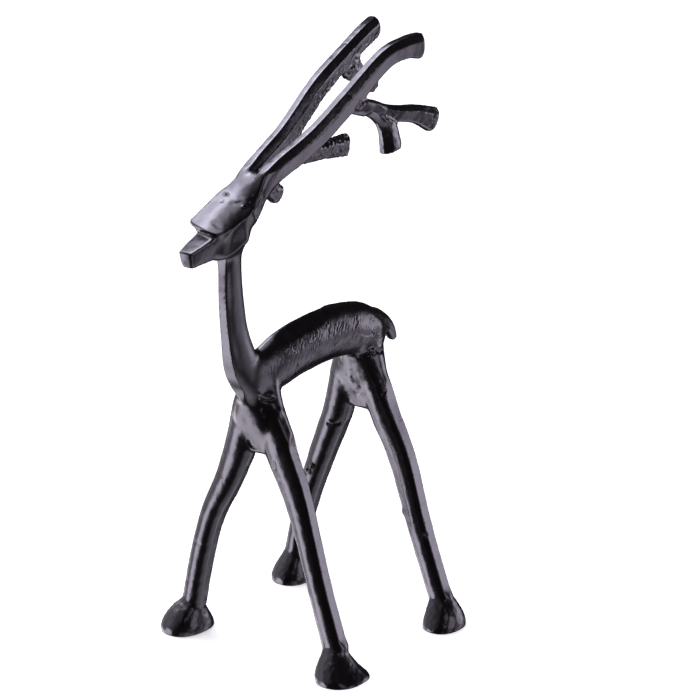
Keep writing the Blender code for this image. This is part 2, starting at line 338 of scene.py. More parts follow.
def sectionPoints(section):
    angle = 2 * np.pi * (np.arange(skinSettings["sides"]) + 0.5) / skinSettings["sides"]
    across, deep = np.cos(angle), np.sin(angle)
    power = np.where(deep < 0, *section)
    reach = (np.abs(across) ** power + np.abs(deep) ** power) ** (-1 / power)
    return across * reach, deep * reach


class Tubes:
    # Gathers closed tubes that overlap where they join
    def __init__(self):
        self.points, self.faces = [], []

    def add(self, rings):
        count, sides = len(rings), len(rings[0])
        first = sum(len(block) for block in self.points)
        self.points.append(np.reshape(rings, (-1, 3)))
        index = first + np.arange(count * sides).reshape(count, sides)
        ahead = np.roll(index, -1, axis=1)
        quads = np.stack([index[:-1], ahead[:-1], ahead[1:], index[1:]], axis=-1).reshape(-1, 4)
        self.faces += quads.tolist() + [index[0][::-1].tolist(), index[-1].tolist()]

    def mesh(self, name):
        mesh = bpy.data.meshes.new(name)
        mesh.from_pydata((np.concatenate(self.points) * mm).tolist(), [], self.faces)
        build = bmesh.new()
        build.from_mesh(mesh)
        bmesh.ops.recalc_face_normals(build, faces=build.faces)
        build.to_mesh(mesh)
        build.free()
        return mesh


def limbRings(frames, section, domes):
    across, deep = sectionPoints(section)
    centre, heading = frames["centre"], frames["heading"]
    sideways = frames["side"] * frames["half"][:, :1]
    downward = frames["deep"] * frames["half"][:, 1:]

    def ring(index, shrink=1, reach=0):
        middle = centre[index] + heading[index] * reach
        return middle + shrink * (across[:, None] * sideways[index] + deep[:, None] * downward[index])

    rings = [ring(index) for index in range(len(centre))]
    for end, share, sign in ((0, domes[0], -1), (-1, domes[1], 1)):
        depth = frames["half"][end, 1] * share
        cap = [ring(end, math.cos(math.radians(angle)), sign * depth * math.sin(math.radians(angle)))
               for angle in skinSettings["domeAngles"]]
        rings = cap[::-1] + rings if end == 0 else rings + cap
    return rings


def faceDirections():
    # Along the face, out of it, and across it towards the left; the roll lowers the left side
    slope, roll = math.radians(head["slope"]), math.radians(head["roll"])
    along = np.array([0, math.cos(slope), math.sin(slope)])
    level = np.array([0, -math.sin(slope), math.cos(slope)])
    across = np.array([math.cos(roll), 0, 0]) - level * math.sin(roll)
    return along, np.cross(across, along), across


faceAlong, faceOut, faceAcross = faceDirections()


def faceStations():
    stations = []
    for distance, thickness, right, left in head["rows"]:
        halfDepth = thickness / (1 + head["flat"])
        centre = np.array(head["front"]) + faceAlong * distance - faceOut * halfDepth * head["flat"]
        stations.append((*(centre + faceAcross * (left - right) / 2), (left + right) / 2, halfDepth))
    return stations


def hoofRings(name):
    # Rings from the ankle to the sole, which draws in a little, and a ring below the ground
    ankleX, ankleY, _, ankleHalf, ankleDepth = limbs[name]["stations"][-1]
    ankleHalf = min(ankleHalf, hoofShape["ankle"][0]) * hoofShape["ankleShare"]
    ankleDepth = min(ankleDepth, hoofShape["ankle"][1]) * hoofShape["ankleShare"]
    hoof = hooves[name]
    sole = np.array(hoof["sole"] + (0,))
    ankle = np.array((ankleX, ankleY, hoofShape["height"]))
    across, deep = sectionPoints(sections["round"])
    right, left, front, back = hoof["full"]
    full = (across ** 2 * np.where(across < 0, right, left) + deep ** 2 * np.where(deep < 0, front, back))
    full /= across ** 2 + deep ** 2
    rings = []
    for share in np.concatenate([np.linspace(1, 0, hoofShape["rings"]), [-hoofShape["underground"]]]):
        height = max(share, 0)
        centre = sole + (ankle - sole) * height
        centre[2] = share * hoofShape["height"]
        flare = full * math.cos(math.pi / 2 * height) + (1 - full) * (1 - height) ** hoofShape["hollow"]
        drawnIn = 1 - hoofShape["drawnIn"] * max(1 - height / hoofShape["drawnInBelow"], 0) ** 2
        halfWidth = (ankleHalf + (hoof["size"][0] - ankleHalf) * flare) * drawnIn
        halfDepth = (ankleDepth + (hoof["size"][1] - ankleDepth) * flare) * drawnIn
        rings.append(centre + np.stack([across * halfWidth, deep * halfDepth, np.zeros_like(across)], axis=1))
    return rings


limbs["face"] = {"section": "face", "stations": faceStations(), "domes": (0.15, 0.7),
                 "heading": faceAlong, "across": faceAcross}
frameSets = {name: framesAlong(limb["stations"], limb.get("across", (1, 0, 0)), limb.get("heading"))
             for name, limb in limbs.items()}

tubes = Tubes()
for name, limb in limbs.items():
    tubes.add(limbRings(frameSets[name], sections[limb["section"]], limb.get("domes", (0.7, 0.7))))
for name in hooves:
    tubes.add(hoofRings(name))
limbMesh = tubes.mesh("limbs")

snoutBuild = bmesh.new()
for halfWidth, y, z in head["snout"]:
    for x in (-halfWidth, halfWidth):
        snoutBuild.verts.new(Vector((x, y, z)) * mm)
bmesh.ops.convex_hull(snoutBuild, input=snoutBuild.verts)
bmesh.ops.recalc_face_normals(snoutBuild, faces=snoutBuild.faces)
snoutBuild.from_mesh(limbMesh)
snoutBuild.to_mesh(limbMesh)
snoutBuild.free()
print("limbs drawn:", len(limbMesh.vertices), "points")


def evaluatedMesh(mesh, name, addModifiers):
    # Runs modifiers on a passing object and returns the plain mesh that they make
    holder = bpy.data.objects.new(name, mesh)
    bpy.context.scene.collection.objects.link(holder)
    addModifiers(holder)
    depsgraph = bpy.context.evaluated_depsgraph_get()
    result = bpy.data.meshes.new_from_object(holder.evaluated_get(depsgraph))
    bpy.data.objects.remove(holder, do_unlink=True)
    return result


def wrapped(mesh, voxel):
    def wrap(holder):
        skin = holder.modifiers.new("skin", "REMESH")
        skin.mode = "VOXEL"
        skin.voxel_size = voxel * mm

    return evaluatedMesh(mesh, "skin", wrap)


def meshPoints(mesh):
    points = np.empty(len(mesh.vertices) * 3)
    mesh.vertices.foreach_get("co", points)
    return points.reshape(-1, 3) / mm


def meshNormals(mesh):
    normals = np.empty(len(mesh.vertices) * 3)
    mesh.vertex_normals.foreach_get("vector", normals)
    return normals.reshape(-1, 3)


def setPoints(mesh, points):
    mesh.vertices.foreach_set("co", (points * mm).ravel())
    mesh.update()


def smoothStep(value, low, high):
    t = np.clip((value - low) / (high - low), 0, 1)
    return t * t * (3 - 2 * t)


# How fast points move to the middle of their neighbours, and where, in radii, a softened place fades out
brush = {
    "pace": 0.5,
    "softEdge": (0.5, 1),
    "filletEdge": (0.7, 1.1),
    "rise": 0.9,  # the pace outwards in a fillet
    "drift": 0.15,  # and along the surface
    "normalsEvery": 6,
    "sharePace": 0.7,
}


class Skin:
    # A mesh with its points in millimetres and the means to move each point towards its neighbours
    def __init__(self, mesh):
        self.mesh, self.points = mesh, meshPoints(mesh)
        edges = np.empty(len(mesh.edges) * 2, int)
        mesh.edges.foreach_get("vertices", edges)
        edges = edges.reshape(-1, 2)
        self.ends = np.concatenate([edges[:, 0], edges[:, 1]])
        self.others = np.concatenate([edges[:, 1], edges[:, 0]])
        self.degree = np.bincount(self.ends, minlength=len(self.points)).astype(float)[:, None]

    def normals(self):
        setPoints(self.mesh, self.points)
        return meshNormals(self.mesh)

    def pull(self, values, picked=slice(None)):
        ends, others = self.ends[picked], self.others[picked]
        total = np.stack([np.bincount(ends, column[others], len(column)) for column in values.T], 1)
        return total / self.degree - values

    def smooth(self, rounds):
        for _ in range(rounds):
            self.points = self.points + self.pull(self.points) * brush["pace"]

    def soften(self, centre, radius, rounds):
        away = np.linalg.norm(self.points - np.array(centre), axis=1) / radius
        weight = brush["pace"] * (1 - smoothStep(away, *brush["softEdge"]))[:, None]
        picked = np.flatnonzero(away[self.ends] < 1)
        for _ in range(rounds):
            self.points = self.points + self.pull(self.points, picked) * weight

    def spread(self, values, rounds):
        values = values[:, None]
        for _ in range(rounds):
            values = values + self.pull(values) * brush["sharePace"]
        return values[:, 0]

    def fill(self, plainRounds, fillets):
        # Hollows rise to meet their surroundings, and more rounds make a wider fillet; nothing else moves
        rounds = np.full(len(self.points), float(plainRounds))
        for centre, radius, most in fillets:
            away = np.linalg.norm(self.points - np.array(centre), axis=1) / radius
            more = (most - plainRounds) * (1 - smoothStep(away, *brush["filletEdge"]))
            rounds = np.maximum(rounds, plainRounds + more)
        for step in range(int(rounds.max())):
            if step % brush["normalsEvery"] == 0:
                normals = self.normals()
                picked = np.flatnonzero(rounds[self.ends] > step)
                active = (rounds > step)[:, None]
            pull = self.pull(self.points, picked) * active
            outward = (pull * normals).sum(1, keepdims=True)
            self.points = self.points + normals * np.maximum(outward, 0) * brush["rise"]
            self.points += (pull - normals * outward) * brush["drift"]


# Fillets where limbs join: a centre, a radius in millimetres and rounds of filling
fillets = [
    ((0, -48, 206), 36, 170),
    ((-1, -60, 172), 24, 60),
    ((0, 50, 178), 36, 60),
    ((0, -86, 288), 20, 16),
    ((0, -66, 321), 17, 40),
    ((0, 66, 204), 16, 60),
    ((17, 26, 356), 20, 34),
    ((-18, 56, 374), 20, 20),
]

rough = Skin(wrapped(limbMesh, skinSettings["roughVoxel"]))
print("skin wrapped:", len(rough.points), "points")
rough.smooth(skinSettings["roughRounds"])
rough.fill(skinSettings["fillRounds"], fillets)
setPoints(rough.mesh, rough.points)
skin = Skin(wrapped(rough.mesh, skinSettings["voxel"]))
skin.smooth(skinSettings["finalRounds"])
points = skin.points
print("joins filled:", len(points), "points")

# How points are told to be on a limb: how far from its centre line they are looked for, how many at once, how
# far they may stand from their frame, and between which reaches they stop counting for filing and for relief
onLimb = {"margin": 24, "block": 20000, "slack": 3, "filed": (1.12, 1.35), "relief": (1.15, 1.4)}


def limbCoordinates(name, points):
    # Every point's place on a limb: its offsets across and deep in half sizes, the reach that they make of
    # the section, and how far along the limb it is; a point past the limb's end gets a longer reach
    frames, section = frameSets[name], sections[limbs[name]["section"]]
    low, high = frames["centre"].min(0) - onLimb["margin"], frames["centre"].max(0) + onLimb["margin"]
    near = np.flatnonzero(((points > low) & (points < high)).all(1))
    nearest = np.empty(len(near), int)
    for start in range(0, len(near), onLimb["block"]):
        block = points[near[start:start + onLimb["block"]]]
        gaps = ((block[:, None] - frames["centre"][None]) ** 2).sum(-1)
        nearest[start:start + onLimb["block"]] = gaps.argmin(1)
    offset = points[near] - frames["centre"][nearest]
    along = (offset * frames["heading"][nearest]).sum(1)
    across = (offset * frames["side"][nearest]).sum(1) / frames["half"][nearest, 0]
    deep = (offset * frames["deep"][nearest]).sum(1) / frames["half"][nearest, 1]
    power = np.where(deep < 0, *section)
    reach = (np.abs(across) ** power + np.abs(deep) ** power) ** (1 / power)
    past = np.maximum(np.abs(along) - onLimb["slack"], 0) / frames["half"][nearest].min(1)
    return near, nearest, across, deep, np.hypot(reach, past), frames["travelled"][nearest] + along


# Flats filed along the limbs: the limb, an angle, a share, where the flat begins and ends along the limb, in
# millimetres, and how long it takes to die out there. The angle is 0 on a section's left side and 90 where
# its depth is positive, and the share is how much of the reach is left. The hooves aren't filed.
hoofFade = (-5, 6)  # millimetres from a hoof's top, between which the flats on the legs begin
filedFlats = [
    ("leftFrontLeg", -7, 0.76, 24, 400, 26),
    ("leftFrontLeg", -68, 0.83, 20, 400, 40),
    ("leftRearLeg", -64, 0.84, 30, 400, 30),
    ("trunk", -58, 0.93, 4, 84, 26),
    ("trunk", -124, 0.84, -10, 90, 24),
    ("rightFrontLeg", 188, 0.82, 24, 400, 44),
    ("rightFrontLeg", 0, 0.92, 50, 180, 14),
    ("leftRearLeg", -6, 0.75, 20, 400, 30),
    ("rightRearLeg", 188, 0.82, 20, 400, 30),
    ("rightRearLeg", 0, 0.92, 50, 180, 14),
    ("neck", -90, 0.8, 18, 150, 24),
    ("leftTine", 90, 0.82, 6, 60, 6),
    ("leftTine", 58, 0.68, 6, 60, 6),
]
for name in ("leftBeam", "leftBranch", "rightBeam", "rightBranch", "rightTine"):
    slim = name in ("rightBranch", "rightTine")
    filedFlats += [
        (name, -90, 0.82, 12, 400, 24),
        (name, -46, 0.84 if slim else 0.77, 16, 400, 24),
        (name, -134, 0.9, 16, 400, 24),
        (name, 14, 0.84, 16, 400, 24),
    ]


def fileFlat(points, name, angle, share, begins, ends, fade):
    frames, section = frameSets[name], sections[limbs[name]["section"]]
    near, nearest, across, deep, reach, travelled = limbCoordinates(name, points)
    sideways, downwards = math.cos(math.radians(angle)), math.sin(math.radians(angle))
    power = section[0] if downwards < 0 else section[1]
    full = (abs(sideways) ** power + abs(downwards) ** power) ** (-1 / power)
    inside = smoothStep(travelled, begins, begins + fade) * (1 - smoothStep(travelled, ends - fade, ends))
    unfiled = onLimb["filed"][0]
    limit = full * (unfiled - (unfiled - share) * inside)
    excess = np.maximum(across * sideways + deep * downwards - limit, 0)
    excess = excess * (1 - smoothStep(reach, *onLimb["filed"]))
    excess *= smoothStep(points[near, 2], *(hoofShape["height"] + edge for edge in hoofFade))
    half = frames["half"][nearest]
    push = frames["side"][nearest] * half[:, :1] * sideways
    push = push + frames["deep"][nearest] * half[:, 1:] * downwards
    moved = points.copy()
    moved[near] -= push * excess[:, None]
    return moved


for flat in filedFlats:
    points = fileFlat(points, *flat)

turn = head["turn"]
turned = smoothStep(-points[:, 1], *turn["between"]) * (points[:, 2] < turn["below"])
points[:, 1] += turned * turn["share"] * (points[:, 0] - turn["pivot"])

# The cheek is hollowed between its edges, which are millimetres below the face plane, behind the ridge and in
# front of the middle
fromFront = points - np.array(head["front"])
distance, height = fromFront @ faceAlong, fromFront @ faceOut
ridgeX, ridgeY = head["ridge"]
edges = head["hollowEdges"]
behindRidge = np.abs(ridgeY - points[:, 1]) / head["hollowLength"]
hollow = ridgeX - head["hollowSlope"] * head["hollowLength"] * np.tanh(behindRidge)
cheek = smoothStep(-height, *edges["top"]) * (height > -edges["bottom"])
cheek = cheek * (points[:, 1] < ridgeY + edges["back"]) * (1 - smoothStep(-points[:, 1], *edges["front"]))
points[:, 0] -= np.maximum(points[:, 0] - hollow, 0) * cheek

# The face is flat on its right half and rounds off into the left cheek
fallen = np.maximum(fromFront @ faceAcross - head["flatTo"], 0) ** 2 / (2 * head["nearRadius"])
pastLip = head["lipShare"] + (1 - head["lipShare"]) * smoothStep(distance, *head["lip"])
beforeBrow = 1 - smoothStep(distance, *head["brow"])
height += fallen * pastLip * beforeBrow
reach = head["faceReach"]
onFace = (distance > -reach["front"]) * beforeBrow * (np.abs(height) < reach["height"])
onFace = onFace * (fromFront[:, 2] > -reach["below"])
points -= faceOut * (np.maximum(height, 0) * onFace)[:, None]

# Places rubbed smooth after filing: a centre, a radius and rounds of smoothing
softened = [
    ((0, -68, 321), 16, 40),
    ((12, -90, 304), 19, 50),
    ((11, -103, 300), 11, 30),
    ((69, -56, 23), 7, 16),
    ((10, -76, 304), 15, 10),
    ((0, -62, 178), 22, 24),
    ((-3, -73, 181), 10, 40),
    ((-6, -68, 180), 13, 40),
    ((14, -45, 182), 14, 50),
    ((4, -50, 206), 22, 40),
    ((8, 50, 184), 18, 30),
    ((21, 43, 348), 9, 12),
    ((6, 64, 198), 14, 24),
]
skin.points = points
for place in softened:
    skin.soften(*place)
skin.smooth(skinSettings["filedRounds"])
print("flats filed")

# Marks left by the mould and the file, in millimetres: a path over the surface, the height at which it stands
# proud, which is negative where it is cut in, and its half width. A ring is a raised rim round a pit.
marks = [
    {"path": [(1.6, -82.6, 316.8), (3.4, -81.6, 317.2), (5, -79, 318)], "height": -0.32, "width": 1.2},
    {"path": [(3.4, -79.8, 317.8), (4.4, -78.4, 318.2)], "height": 0.25, "width": 1.3},
    {"path": [(3.4, -101, 308.4), (6, -101.4, 307.6)], "height": -0.3, "width": 2},
    {"path": [(-5.1, -84.5, 315.9)], "height": -0.35, "width": 1.1},
    {"path": [(11.4, -78.4, 316.6), (12, -75, 316.8)], "height": -0.25, "width": 2.2},
    {"path": [(10.2, -80, 317.4)], "height": 0.9, "width": 1},
    {"path": [(10.9, -75.3, 317.4)], "height": 0.4, "width": 0.6},
    {"path": [(9.5, -72.6, 320.4)], "height": 0.4, "width": 0.6},
    {"path": [(11.3, -71.5, 309), (11.4, -69.5, 305)], "height": -0.9, "width": 2.4},
    {"path": [(10.5, -70, 299), (9.5, -69, 295)], "height": -0.7, "width": 2.4},
    {"path": [(10.9, -66.4, 175), (10.9, -66.2, 171)], "height": -0.6, "width": 0.8},
    {"path": [(8, -65.5, 183.5), (12, -63.7, 181.5), (15.5, -60.5, 182)], "height": -0.6, "width": 1.2},
    {"path": [(7, -66, 187), (11, -64.5, 185), (14.5, -61.5, 185.4)], "height": 0.5, "width": 1.4},
    {"path": [(17.6, -58.5, 173.8)], "height": 0.9, "width": 2.4},
    {"path": [(12.7, 33.9, 200.6), (12.2, 39, 198), (12.2, 45.3, 197.4)], "height": -0.6, "width": 0.9},
    {"path": [(7.3, 38.6, 182.1), (9.5, 42, 184.5), (12.2, 44.2, 183.7), (12, 48, 184.6), (12.5, 52, 182.6),
              (12.7, 55.4, 182.9)], "height": -1.5, "width": 1.0},
    {"path": [(10, 43, 186.4), (12, 46, 186)], "height": 0.9, "width": 0.8},
    {"path": [(12.4, 49, 181.8)], "height": 0.9, "width": 0.9},
    {"path": [(12.4, 52.5, 185)], "height": 0.8, "width": 0.8},
    {"path": [(11, 44.5, 181.6)], "height": 0.8, "width": 0.8},
    {"path": [(-12, 42.6, 162), (-10.5, 42.6, 158), (-7, 42.6, 156)], "height": -0.2, "width": 2.8},
    {"path": [(0, 43, 153.5), (4, 43, 155.5)], "height": -0.5, "width": 2.6},
    {"path": [(-4, 42.6, 166), (0, 42.6, 161), (2, 42.6, 159)], "height": 0.5, "width": 2.4},
    {"path": [(-24.2, 44, 126.4), (-20, 44.6, 126.8), (-16.3, 45.4, 127.9)], "height": -0.6, "width": 1},
    {"path": [(-22, 44, 128.6)], "height": 0.8, "width": 0.9},
    {"path": [(-4.4, -61.5, 150), (-3, -61.6, 146), (0.5, -61.5, 144.5)], "height": -0.8, "width": 0.8},
    {"path": [(18.5, -62, 141), (18.5, -62, 136)], "height": -0.45, "width": 1.1},
    {"path": [(22, -61.8, 129), (26, -61.8, 126)], "height": -0.3, "width": 1.2},
    {"path": [(-29.5, -61.6, 121), (-26, -61.8, 120)], "height": -0.2, "width": 1.2},
    {"path": [(-51, -61.6, 67), (-47.5, -61.8, 67.5)], "height": -0.2, "width": 1.2},
    {"path": [(-59.5, -61.4, 37), (-56.5, -61.5, 36.5)], "height": -0.2, "width": 1.2},
    {"path": [(-40.5, 46.2, 91), (-39, 46.1, 93)], "height": 1.0, "width": 1.0},
    {"path": [(23.4, 46, 160), (20.4, 46, 157)], "height": -0.6, "width": 1.2},
    {"path": [(36.7, 48.5, 75.9)], "height": 0.9, "width": 2.6},
    {"ring": (-6.6, -78.8, 318.1), "radius": 1.2, "height": 0.5, "width": 0.45},
    {"ring": (20.9, 24.3, 361), "radius": 1.3, "height": 0.5, "width": 0.5},
    {"ring": (28.5, 87.3, 336.7), "radius": 1.0, "height": 0.5, "width": 0.45},
    {"ring": (-42.9, 46.3, 87.5), "radius": 1.8, "height": 0.9, "width": 0.7},
    {"ring": (55.3, 48.6, 64.1), "radius": 1.3, "height": 0.5, "width": 0.5},
]


markDetail = {
    "margin": 8,  # how far off the surface a path may lie
    "perPoint": 12,  # places along the path for each of its points
    "pitDepth": 1.6,  # a pit's depth in heights of its rim
    "pitWidth": 0.6,  # and its half width in radii
}


def nearestPoint(place, points):
    return points[((points - place) ** 2).sum(1).argmin()]


def markHeights(mark, points):
    # The height that a mark gives to every point
    path = np.array(mark.get("path", [mark.get("ring")]), float)
    reach = 3 * mark["width"] + mark.get("radius", 0)
    low, high = path.min(0) - reach - markDetail["margin"], path.max(0) + reach + markDetail["margin"]
    near = np.flatnonzero(((points > low) & (points < high)).all(1))
    close = points[near]
    if len(path) > 1:
        path = spline(path, np.linspace(0, len(path) - 1, markDetail["perPoint"] * len(path)))
    track = np.array([nearestPoint(place, close) for place in path])
    gap = np.sqrt(((close[:, None] - track[None]) ** 2).sum(-1).min(1))
    heights = np.zeros(len(points))
    if "ring" in mark:
        heights[near] = mark["height"] * np.exp(-((gap - mark["radius"]) / mark["width"]) ** 2)
        pit = np.exp(-(gap / (markDetail["pitWidth"] * mark["radius"])) ** 2)
        heights[near] -= markDetail["pitDepth"] * mark["height"] * pit
    else:
        heights[near] = mark["height"] * np.exp(-(gap / mark["width"]) ** 2)
    return heights


normals = skin.normals()
raised = sum(markHeights(mark, skin.points) for mark in marks)
skin.points = skin.points + normals * raised[:, None]
setPoints(skin.mesh, skin.points)
print("marks cut:", len(marks))

# Where the relief differs, as shares of its full height. The file marks of the legs and the trunk are
# ripples, which fade across the limb. The mould's rough scale rises along one of a limb's directions, between
# two values. The neck is calm: it has less of the swells and dents that the rest shows.
reliefPlaces = {
    "rippledLegs": {"rightFrontLeg": 1.3, "rightRearLeg": 0.9, "leftFrontLeg": 0.45, "leftRearLeg": 0.45},
    "legRipples": {"from": (20, 40), "deep": (-0.4, 0.1)},
    "flankRipples": {"from": (0, 8), "across": (0.5, 0.8), "deep": (0.45, 0.8), "middle": -0.05, "slant": 11},
    "scaled": {
        "rightBeam": ("deep", 0.05, 0.35, 1),
        "rightBranch": ("travelled", 4, 10, 1),
        "rightTine": ("travelled", 4, 10, 1),
        "rightStub": ("travelled", 2, 6, 0.8),
        "leftTine": ("travelled", 18, 24, 0.35),
        "hips": ("travelled", 14, 20, 0.2),
        "leftBranch": ("travelled", 60, 74, 0.3),
        "leftBeam": ("travelled", 168, 180, 0.2),
    },
    "scaledHooves": {"share": 0.32, "heights": (20, 26)},
    "calmNeck": {"share": 0.6, "from": (16, 30)},
}
shareNames = ("rippleShare", "rippleAlong", "scaleShare", "calmShare")
shares = {name: np.zeros(len(skin.points)) for name in shareNames}


def onLimbFrom(name, low, high, direction="travelled"):
    # The points near a limb, with a share that rises along one of its directions and is kept to the limb
    near, nearest, across, deep, reach, travelled = limbCoordinates(name, skin.points)
    value = {"deep": deep, "travelled": travelled}[direction]
    share = smoothStep(value, low, high) * (1 - smoothStep(reach, *onLimb["relief"]))
    return near, share, across, deep, travelled


def addShare(kind, near, share):
    shares[kind][near] = np.maximum(shares[kind][near], share)


along = shares["rippleAlong"]
legs = reliefPlaces["legRipples"]
for name, most in reliefPlaces["rippledLegs"].items():
    near, share, across, deep, travelled = onLimbFrom(name, *legs["from"])
    addShare("rippleShare", near, most * share * (1 - smoothStep(deep, *legs["deep"])))
    along[near] = np.where(share > 0, travelled, along[near])

flank = reliefPlaces["flankRipples"]
near, share, across, deep, travelled = onLimbFrom("trunk", *flank["from"])
share = share * smoothStep(np.abs(across), *flank["across"])
share = share * (1 - smoothStep(np.abs(deep - flank["middle"]), *flank["deep"]))
along[near] = np.where(share > shares["rippleShare"][near], travelled + flank["slant"] * deep, along[near])
addShare("rippleShare", near, share)

for name, (direction, low, high, most) in reliefPlaces["scaled"].items():
    near, share, across, deep, travelled = onLimbFrom(name, low, high, direction)
    addShare("scaleShare", near, most * share)
hoof = reliefPlaces["scaledHooves"]
addShare("scaleShare", slice(None), hoof["share"] * (1 - smoothStep(skin.points[:, 2], *hoof["heights"])))

calm = reliefPlaces["calmNeck"]
near, share, across, deep, travelled = onLimbFrom("neck", *calm["from"])
addShare("calmShare", near, calm["share"] * share)

for name, values in shares.items():
    if name != "rippleAlong":
        values = skin.spread(values, skinSettings["shareRounds"])
    skin.mesh.attributes.new(name, "FLOAT", "POINT").data.foreach_set("value", values)
print("relief placed")

# Relief of the cast surface: heights and sizes in millimetres
castRelief = {
    "Swell Height": 0.42,
    "Swell Size": 13.0,
    "Dent Height": 0.16,
    "Dent Size": 4.2,
    "Ripple Height": 0.11,
    "Ripple Spacing": 2.7,
    "Scale Height": 1.15,
    "Scale Size": 3.0,
    "Seed": 4.0,
}
reliefCharacter = {
    "patchSize": 0.6,  # ripples come in patches, whose size is a share of the swells'
    "patchContrast": 5,
    "patchLevel": 0.6,
    "wobbleSize": 0.34,  # and they bend, over a share of the swells' size
    "wobble": 20,
    "scaleLevel": 0.45,  # a scale's edge in shares of its cell
}


def castReliefTree():
    character = reliefCharacter
    tree = bpy.data.node_groups.new("castRelief", "GeometryNodeTree")
    tree.interface.new_socket(name="Geometry", in_out="INPUT", socket_type="NodeSocketGeometry")
    for name, value in castRelief.items():
        socket = tree.interface.new_socket(name=name, in_out="INPUT", socket_type="NodeSocketFloat")
        socket.default_value = value
    tree.interface.new_socket(name="Metal", in_out="INPUT", socket_type="NodeSocketMaterial")
    tree.interface.new_socket(name="Geometry", in_out="OUTPUT", socket_type="NodeSocketGeometry")
    nodes = Nodes(tree)
    given = tree.nodes.new("NodeGroupInput")
    size = {item.name: Value(nodes, item) for item in given.outputs}
    place = nodes.add("GeometryNodeInputPosition")

    def share(name):
        return nodes.add("GeometryNodeInputNamedAttribute", {"data_type": "FLOAT"}, {"Name": name})

    def noise(spread, detail):
        return nodes.add("ShaderNodeTexNoise", {"noise_dimensions": "4D"},
                         {"Vector": place, "W": size["Seed"], "Scale": 1000 / spread, "Detail": detail}) - 0.5

    swell = noise(size["Swell Size"], 2) * size["Swell Height"] * 2
    dents = noise(size["Dent Size"], 3) * size["Dent Height"] * 2
    patches = noise(size["Swell Size"] * character["patchSize"], 1) * character["patchContrast"]
    patches = patches + character["patchLevel"]
    turns = share("rippleAlong") * (2 * math.pi) / size["Ripple Spacing"]
    turns = turns + noise(size["Swell Size"] * character["wobbleSize"], 2) * character["wobble"]
    ripples = turns.sine() * size["Ripple Height"] * share("rippleShare") * patches
    cells = nodes.add("ShaderNodeTexVoronoi", {"voronoi_dimensions": "4D"},
                      {"Vector": place, "W": size["Seed"], "Scale": 1000 / size["Scale Size"]})
    scales = (character["scaleLevel"] - cells) * size["Scale Height"] * share("scaleShare")
    height = ((swell + dents) * (1 - share("calmShare")) + ripples + scales) * mm
    outwards = nodes.add("GeometryNodeInputNormal")
    offset = nodes.add("ShaderNodeVectorMath", {"operation": "SCALE"}, {0: outwards, "Scale": height})
    moved = nodes.add("GeometryNodeSetPosition", {}, {"Geometry": size["Geometry"], "Offset": offset})
    whole = nodes.add("GeometryNodeRealizeInstances", {}, {"Geometry": moved})
    dressed = nodes.add("GeometryNodeSetMaterial", {}, {"Geometry": whole, "Material": size["Metal"]})
    nodes.add("NodeGroupOutput", {}, {"Geometry": dressed})
    return tree


def finishSurface(holder):
    tree = castReliefTree()
    relief = holder.modifiers.new("castRelief", "NODES")
    relief.node_group = tree
    values = dict(castRelief, Metal=castMetal())
    for item in tree.interface.items_tree:
        if item.in_out == "INPUT" and item.name in values:
            relief[item.identifier] = values[item.name]
    count = sum(len(face.vertices) - 2 for face in holder.data.polygons)
    if count > skinSettings["triangles"]:
        holder.modifiers.new("thin", "DECIMATE").ratio = skinSettings["triangles"] / count
    print("surface:", count, "triangles before thinning")


figureMesh = evaluatedMesh(skin.mesh, "figure", finishSurface)
for name in shareNames:
    figureMesh.attributes.remove(figureMesh.attributes[name])

# The soles are cut level with the floor and closed
build = bmesh.new()
build.from_mesh(figureMesh)
everything = build.verts[:] + build.edges[:] + build.faces[:]
cut = bmesh.ops.bisect_plane(build, geom=everything, dist=1e-7, plane_co=(0, 0, 0), plane_no=(0, 0, -1),
                             clear_outer=True)
rims = [item for item in cut["geom_cut"] if isinstance(item, bmesh.types.BMEdge)]
bmesh.ops.holes_fill(build, edges=rims)
bmesh.ops.dissolve_degenerate(build, dist=skinSettings["shortestEdge"] * mm, edges=build.edges)
bmesh.ops.triangulate(build, faces=build.faces)
bmesh.ops.recalc_face_normals(build, faces=build.faces)
build.to_mesh(figureMesh)
build.free()

# The figure stands where its CAD solid stands, and never outside that solid's box
standsOver = (1.06, -15.77, 0)  # the place in the drawing that comes under the middle of the box
lowCorner, highCorner = (np.array(corner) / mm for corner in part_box("reindeer"))
underMiddle = np.append((lowCorner + highCorner)[:2] / 2, lowCorner[2])
points = meshPoints(figureMesh) - standsOver + underMiddle
print("room to the CAD box:", np.round(points.min(0) - lowCorner, 2), np.round(highCorner - points.max(0), 2))
points = np.clip(points, lowCorner, highCorner)
setPoints(figureMesh, points)
figureMesh.shade_smooth()
figure = bpy.data.objects.new("castReindeer", figureMesh)
bpy.context.scene.collection.objects.link(figure)
print("figure finished:", len(figureMesh.polygons), "triangles")
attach(figure, "root")
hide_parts("reindeer")

